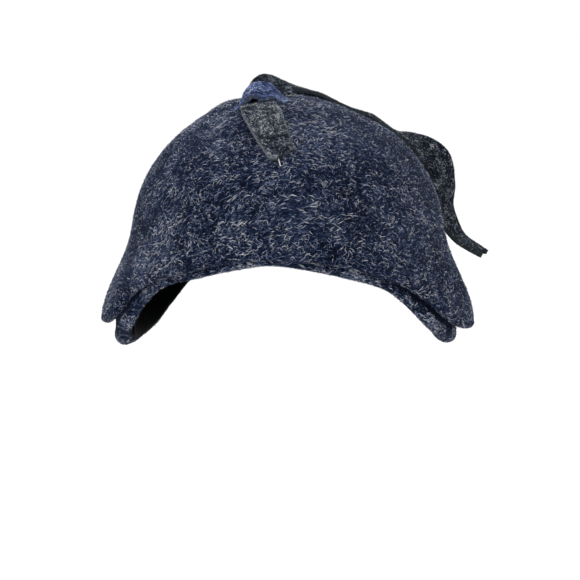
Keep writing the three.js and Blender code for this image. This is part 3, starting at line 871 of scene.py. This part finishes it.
def liningMaterial():
    material, tree = newMaterial("black twill lining")
    place = addNode(tree, "ShaderNodeTexCoord")
    twill = addNode(tree, "ShaderNodeTexWave", {"wave_type": "BANDS", "bands_direction": "DIAGONAL"},
                    {"Scale": ridge / (liningLook["twill"] * mm), "Distortion": 1.5, "Detail": 2.0},
                    {"Vector": place.outputs["Object"]})
    colour = addNode(tree, "ShaderNodeMix", {"data_type": "RGBA"},
                     {6: linear(liningLook["dark"]), 7: linear(liningLook["light"])},
                     {0: twill.outputs["Fac"]})
    bump = addNode(tree, "ShaderNodeBump", None, {"Strength": 0.3, "Distance": 0.2 * mm},
                   {"Height": twill.outputs["Fac"]})
    shader = addNode(tree, "ShaderNodeBsdfPrincipled", None,
                     {"Roughness": liningLook["roughness"], "Specular IOR Level": liningLook["specular"]},
                     {"Base Color": colour.outputs[2], "Normal": bump.outputs[0]})
    addNode(tree, "ShaderNodeOutputMaterial", None, None, {"Surface": shader.outputs[0]})
    return material


# Spun cotton thread: twisted plies, white or buff, that look like fine slanting ridges.
threadLook = {"white": ("#b9b2a6", "#e9e4da"), "buff": ("#4b4a38", "#7a7659"), "ply": 0.6, "roughness": 0.8}


def threadMaterial(name, colours):
    material, tree = newMaterial(name)
    place = addNode(tree, "ShaderNodeTexCoord")
    plies = addNode(tree, "ShaderNodeTexWave", {"wave_type": "BANDS", "bands_direction": "DIAGONAL"},
                    {"Scale": ridge / (threadLook["ply"] * mm), "Distortion": 0.5},
                    {"Vector": place.outputs["Object"]})
    colour = addNode(tree, "ShaderNodeMix", {"data_type": "RGBA"},
                     {6: linear(colours[0]), 7: linear(colours[1])}, {0: plies.outputs["Fac"]})
    shader = addNode(tree, "ShaderNodeBsdfPrincipled", None, {"Roughness": threadLook["roughness"]},
                     {"Base Color": colour.outputs[2]})
    addNode(tree, "ShaderNodeOutputMaterial", None, None, {"Surface": shader.outputs[0]})
    return material


paleFibre = fibreMaterial("combed pale wool fibre", fibreLook["pale"])
blueFibre = fibreMaterial("combed blue wool fibre", fibreLook["blue"])
greyFibre = fibreMaterial("combed grey wool fibre", fibreLook["grey"])
for piece, material in (
        (crownFelt, feltMaterial("brushed navy wool felt", feltLook["navy"], 0.07)),
        (bridgeFelt, feltMaterial("stretched blue wool felt", feltLook["blue"], 0.05, cut=0.25)),
        # the band's inside gets painted shade
        (bandFelt, feltMaterial("pressed navy wool felt", feltLook["navy"], 0.06, insideShade=True)),
        # the strap gets painted shade towards its tail
        (strapFelt, feltMaterial("cut grey wool felt", feltLook["grey"], 0.05, cut=0.65, tailShade=0.75)),
        (liningCloth, liningMaterial()),
        (threadEnd, threadMaterial("white cotton thread", threadLook["white"]))):
    piece.data.materials.append(material)
buffCotton = threadMaterial("buff cotton thread", threadLook["buff"])
for piece in slitStitches:
    piece.data.materials.append(buffCotton)
print("materials made")


# Loose fibres on the felt

fibreShape = {
    # how far each kind of fibre bends, sideways and off the felt
    "bends": ((1.0, 0.10), (-1.0, 0.14), (0.45, 0.08), (-0.5, 0.2), (1.5, 0.12)),
    "taper": 0.75,               # how much narrower a fibre's ends are than its middle
    "clouds": (0.34, 0.66), "cloudy": (0.3, 1.7),          # noise, and how dense the fibres are there
    "pale": 2.2,                 # the higher, the fewer fibres are pale
    "patches": (0.35, 0.68), "patchy": (-0.12, 0.3),       # noise, and how much paler the fibres are there
    "tailShadeOver": (0.12, 0.4),     # shares of a strip's length over which painted shade darkens the fibres
}


def fibreTree():
    shape = fibreShape
    tree = bpy.data.node_groups.new("fibres laid on felt", "GeometryNodeTree")
    face = tree.interface
    face.new_socket("Geometry", in_out="INPUT", socket_type="NodeSocketGeometry")
    for label in ("Fibres per square metre", "Shortest", "Longest", "Width", "Crimp", "Stray", "Stand",
                  "Swirl", "Swirl size", "Cloud size", "Fade"):
        face.new_socket(label, in_out="INPUT", socket_type="NodeSocketFloat")
    face.new_socket("Seed", in_out="INPUT", socket_type="NodeSocketInt")
    face.new_socket("Material", in_out="INPUT", socket_type="NodeSocketMaterial")
    face.new_socket("Geometry", in_out="OUTPUT", socket_type="NodeSocketGeometry")
    given = addNode(tree, "NodeGroupInput").outputs
    fur = addNode(tree, "GeometryNodeInputNamedAttribute", {"data_type": "FLOAT"}, {"Name": "fur"})
    at = addNode(tree, "GeometryNodeInputPosition")
    cloudScale = addNode(tree, "ShaderNodeMath", {"operation": "DIVIDE"}, {0: 1.0},
                         {1: given["Cloud size"]})
    clouds = addNode(tree, "ShaderNodeTexNoise", None, {"Detail": 3.0, "Roughness": 0.6},
                     {"Vector": at.outputs[0], "Scale": cloudScale.outputs[0]})
    thick = addNode(tree, "ShaderNodeMapRange", None,
                    dict(zip((1, 2, 3, 4), shape["clouds"] + shape["cloudy"])), {0: clouds.outputs[0]})
    furry = addNode(tree, "ShaderNodeMath", {"operation": "MULTIPLY"}, None,
                    {0: fur.outputs[0], 1: thick.outputs[0]})
    density = addNode(tree, "ShaderNodeMath", {"operation": "MULTIPLY"}, None,
                      {0: furry.outputs[0], 1: given["Fibres per square metre"]})
    points = addNode(tree, "GeometryNodeDistributePointsOnFaces", {"distribute_method": "RANDOM"}, None,
                     {"Mesh": given["Geometry"], "Density": density.outputs[0], "Seed": given["Seed"]})
    # a fibre is a narrow strip one unit long, bent sideways and off the felt
    shapes = addNode(tree, "GeometryNodeJoinGeometry")
    for bendShare, liftShare in shape["bends"]:
        strip = addNode(tree, "GeometryNodeMeshGrid", None,
                        {"Size X": 1.0, "Vertices X": 3, "Vertices Y": 2}, {"Size Y": given["Width"]})
        place = addNode(tree, "GeometryNodeInputPosition")
        parts = addNode(tree, "ShaderNodeSeparateXYZ", None, None, {0: place.outputs[0]})
        square = addNode(tree, "ShaderNodeMath", {"operation": "POWER"}, {1: 2.0}, {0: parts.outputs["X"]})
        bow = addNode(tree, "ShaderNodeMath", {"operation": "MULTIPLY_ADD"}, {1: -4.0, 2: 1.0},
                      {0: square.outputs[0]})
        taper = addNode(tree, "ShaderNodeMath", {"operation": "MULTIPLY_ADD"},
                        {1: shape["taper"], 2: 1 - shape["taper"]}, {0: bow.outputs[0]})
        narrow = addNode(tree, "ShaderNodeMath", {"operation": "MULTIPLY"}, None,
                         {0: parts.outputs["Y"], 1: taper.outputs[0]})
        crimp = addNode(tree, "ShaderNodeMath", {"operation": "MULTIPLY"}, {1: bendShare},
                        {0: given["Crimp"]})
        sideways = addNode(tree, "ShaderNodeMath", {"operation": "MULTIPLY_ADD"}, None,
                           {0: bow.outputs[0], 1: crimp.outputs[0], 2: narrow.outputs[0]})
        lifted = addNode(tree, "ShaderNodeMath", {"operation": "MULTIPLY"}, {1: liftShare},
                         {0: bow.outputs[0]})
        moved = addNode(tree, "ShaderNodeCombineXYZ", None, None,
                        {"X": parts.outputs["X"], "Y": sideways.outputs[0], "Z": lifted.outputs[0]})
        bent = addNode(tree, "GeometryNodeSetPosition", None, None,
                       {"Geometry": strip.outputs[0], "Position": moved.outputs[0]})
        single = addNode(tree, "GeometryNodeGeometryToInstance", None, None, {0: bent.outputs[0]})
        tree.links.new(single.outputs[0], shapes.inputs[0])
    flow = addNode(tree, "GeometryNodeInputNamedAttribute", {"data_type": "FLOAT_VECTOR"}, {"Name": "flow"})
    facing = addNode(tree, "FunctionNodeAxesToRotation", {"primary_axis": "Z", "secondary_axis": "X"}, None,
                     {0: points.outputs["Normal"], 1: flow.outputs[0]})
    less = addNode(tree, "ShaderNodeMath", {"operation": "MULTIPLY"}, {1: -1.0}, {0: given["Stray"]})
    lean = addNode(tree, "ShaderNodeMath", {"operation": "MULTIPLY"}, {1: -1.0}, {0: given["Stand"]})
    lowTurn = addNode(tree, "ShaderNodeCombineXYZ", None, None,
                      {"X": lean.outputs[0], "Y": lean.outputs[0], "Z": less.outputs[0]})
    highTurn = addNode(tree, "ShaderNodeCombineXYZ", None, None,
                       {"X": given["Stand"], "Y": given["Stand"], "Z": given["Stray"]})
    spin = addNode(tree, "FunctionNodeRandomValue", {"data_type": "FLOAT_VECTOR"}, None,
                   {0: lowTurn.outputs[0], 1: highTurn.outputs[0], "Seed": given["Seed"]})
    swirlScale = addNode(tree, "ShaderNodeMath", {"operation": "DIVIDE"}, {0: 1.0},
                         {1: given["Swirl size"]})
    eddies = addNode(tree, "ShaderNodeTexNoise", None, {"Detail": 1.0},
                     {"Vector": at.outputs[0], "Scale": swirlScale.outputs[0]})
    centred = addNode(tree, "ShaderNodeMath", {"operation": "SUBTRACT"}, {1: 0.5}, {0: eddies.outputs[0]})
    swirl = addNode(tree, "ShaderNodeMath", {"operation": "MULTIPLY"}, None,
                    {0: centred.outputs[0], 1: given["Swirl"]})
    eddyTurn = addNode(tree, "ShaderNodeCombineXYZ", None, None, {"Z": swirl.outputs[0]})
    swirled = addNode(tree, "FunctionNodeRotateRotation", {"rotation_space": "LOCAL"}, None,
                      {0: facing.outputs[0], 1: eddyTurn.outputs[0]})
    turned = addNode(tree, "FunctionNodeRotateRotation", {"rotation_space": "LOCAL"}, None,
                     {0: swirled.outputs[0], 1: spin.outputs[0]})
    length = addNode(tree, "FunctionNodeRandomValue", {"data_type": "FLOAT"}, None,
                     {2: given["Shortest"], 3: given["Longest"], "Seed": given["Seed"]})
    choice = addNode(tree, "FunctionNodeRandomValue", {"data_type": "INT"},
                     {4: 0, 5: len(shape["bends"]) - 1}, {"Seed": given["Seed"]})
    placed = addNode(tree, "GeometryNodeInstanceOnPoints", None, {"Pick Instance": True},
                     {"Points": points.outputs[0], "Instance": shapes.outputs[0],
                      "Instance Index": choice.outputs[2], "Rotation": turned.outputs[0],
                      "Scale": length.outputs[1]})
    shade = addNode(tree, "FunctionNodeRandomValue", {"data_type": "FLOAT"}, {2: 0.0, 3: 1.0, "Seed": 7})
    few = addNode(tree, "ShaderNodeMath", {"operation": "POWER"}, {1: shape["pale"]}, {0: shade.outputs[1]})
    patches = addNode(tree, "ShaderNodeMapRange", None,
                      dict(zip((1, 2, 3, 4), shape["patches"] + shape["patchy"])), {0: clouds.outputs[0]})
    bright = addNode(tree, "ShaderNodeMath", {"operation": "ADD"}, None,
                     {0: few.outputs[0], 1: patches.outputs[0]})
    # painted shade: fibres get darker along the strip towards its tail
    walked = addNode(tree, "GeometryNodeInputNamedAttribute", {"data_type": "FLOAT"}, {"Name": "place"})
    near, far = shape["tailShadeOver"]
    tailShading = addNode(tree, "ShaderNodeMapRange", None, {1: near, 2: far, 3: 0.0},
                     {0: walked.outputs[0], 4: given["Fade"]})
    tone = addNode(tree, "ShaderNodeMath", {"operation": "SUBTRACT"}, None,
                   {0: bright.outputs[0], 1: tailShading.outputs[0]})
    toned = addNode(tree, "GeometryNodeStoreNamedAttribute", {"data_type": "FLOAT", "domain": "INSTANCE"},
                    {"Name": "tone"}, {"Geometry": placed.outputs[0], "Value": tone.outputs[0]})
    real = addNode(tree, "GeometryNodeRealizeInstances", None, None, {0: toned.outputs[0]})
    finish = addNode(tree, "GeometryNodeSetMaterial", None, None,
                     {"Geometry": real.outputs[0], "Material": given["Material"]})
    addNode(tree, "NodeGroupOutput", None, None, {0: finish.outputs[0]})
    return tree


fibresLaid = fibreTree()


def growFibres(name, carrier, material, settings):
    base = bpy.data.objects.new(name + "_base", carrier.data.copy())
    scene.collection.objects.link(base)
    modifier = base.modifiers.new("fibres", "NODES")
    modifier.node_group = fibresLaid
    for item in fibresLaid.interface.items_tree:
        if item.in_out == "INPUT" and item.name in settings:
            modifier[item.identifier] = settings[item.name]
        if item.in_out == "INPUT" and item.name == "Material":
            modifier[item.identifier] = material
    base.data.update()
    bpy.context.view_layer.update()
    seen = base.evaluated_get(bpy.context.evaluated_depsgraph_get())
    data = bpy.data.meshes.new_from_object(seen)
    base.modifiers.remove(modifier)
    bpy.data.objects.remove(base)
    data.name = name
    # only the tone and the choice of material are still needed
    spare = [a.name for a in data.attributes if a.name not in ("tone", "material_index")
             and not a.name.startswith(".") and not a.is_required]
    for label in spare:
        data.attributes.remove(data.attributes[label])
    piece = bpy.data.objects.new(name, data)
    scene.collection.objects.link(piece)
    print(name, "has", len(data.polygons), "faces")
    return piece


fibres = {
    "crown_fibres": {"Fibres per square metre": 690000.0, "Shortest": 1.8 * mm, "Longest": 4.2 * mm,
                     "Width": 0.07, "Crimp": 0.11, "Stray": 0.8, "Stand": 0.06, "Swirl": 2.2,
                     "Swirl size": 22 * mm, "Cloud size": 24 * mm, "Seed": 4},
    "crown_nap": {"Fibres per square metre": 690000.0, "Shortest": 1.2 * mm, "Longest": 3.0 * mm,
                  "Width": 0.08, "Crimp": 0.15, "Stray": 1.7, "Stand": 0.3, "Swirl": 3.0,
                  "Swirl size": 16 * mm, "Cloud size": 15 * mm, "Seed": 9},
    "crown_fluff": {"Fibres per square metre": 690000.0, "Shortest": 1.0 * mm, "Longest": 2.2 * mm,
                    "Width": 0.1, "Crimp": 0.17, "Stray": 1.1, "Stand": 0.12, "Swirl": 2.2,
                    "Swirl size": 22 * mm, "Cloud size": 9 * mm, "Seed": 12},
    "bridge_fibres": {"Fibres per square metre": 1800000.0, "Shortest": 1.4 * mm, "Longest": 3.2 * mm,
                      "Width": 0.09, "Crimp": 0.13, "Stray": 0.9, "Stand": 0.15, "Swirl": 2.0,
                      "Swirl size": 9 * mm, "Cloud size": 9 * mm, "Seed": 14},
    "band_fibres": {"Fibres per square metre": 2600000.0, "Shortest": 1.4 * mm, "Longest": 3.6 * mm,
                    "Width": 0.085, "Crimp": 0.14, "Stray": 0.9, "Stand": 0.12, "Swirl": 2.0,
                    "Swirl size": 16 * mm, "Cloud size": 12 * mm, "Seed": 21},
    # the strap's fibres get painted shade towards the tail
    "strap_fibres": {"Fibres per square metre": 2400000.0, "Shortest": 1.0 * mm, "Longest": 2.6 * mm,
                     "Width": 0.1, "Crimp": 0.2, "Stray": 3.1, "Stand": 0.12, "Swirl": 1.0,
                     "Swirl size": 10 * mm, "Cloud size": 7 * mm, "Fade": 0.2, "Seed": 33},
}
crownFibres, crownNap, crownFluff, bridgeFibres, bandFibres, strapFibres = [
    growFibres(name, carrier, material, fibres[name]) for name, carrier, material in (
        ("crown_fibres", crownFelt, paleFibre), ("crown_nap", crownFelt, paleFibre),
        ("crown_fluff", crownFelt, paleFibre), ("bridge_fibres", bridgeFelt, blueFibre),
        ("band_fibres", bandFelt, paleFibre), ("strap_fibres", strapFelt, greyFibre))]
print("fibres made")

# What each piece stands for and rides on

for piece, slot, node in (
        (crownFelt, "felt", "crown"), (bridgeFelt, "felt", "crown"), (crownFibres, "felt", None),
        (crownNap, "felt", None), (crownFluff, "felt", None), (bridgeFibres, "felt", None),
        (bandFelt, "felt", "inner_band"), (bandFibres, "felt", None), (strapFelt, "strap", "strap"),
        (strapFibres, "strap", None), (threadEnd, "strap", None), (liningCloth, "lining", "lining"),
        *((stitch, "felt", None) for stitch in slitStitches)):
    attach(piece, "root")
    if node:
        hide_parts(node)

print("all pieces placed")
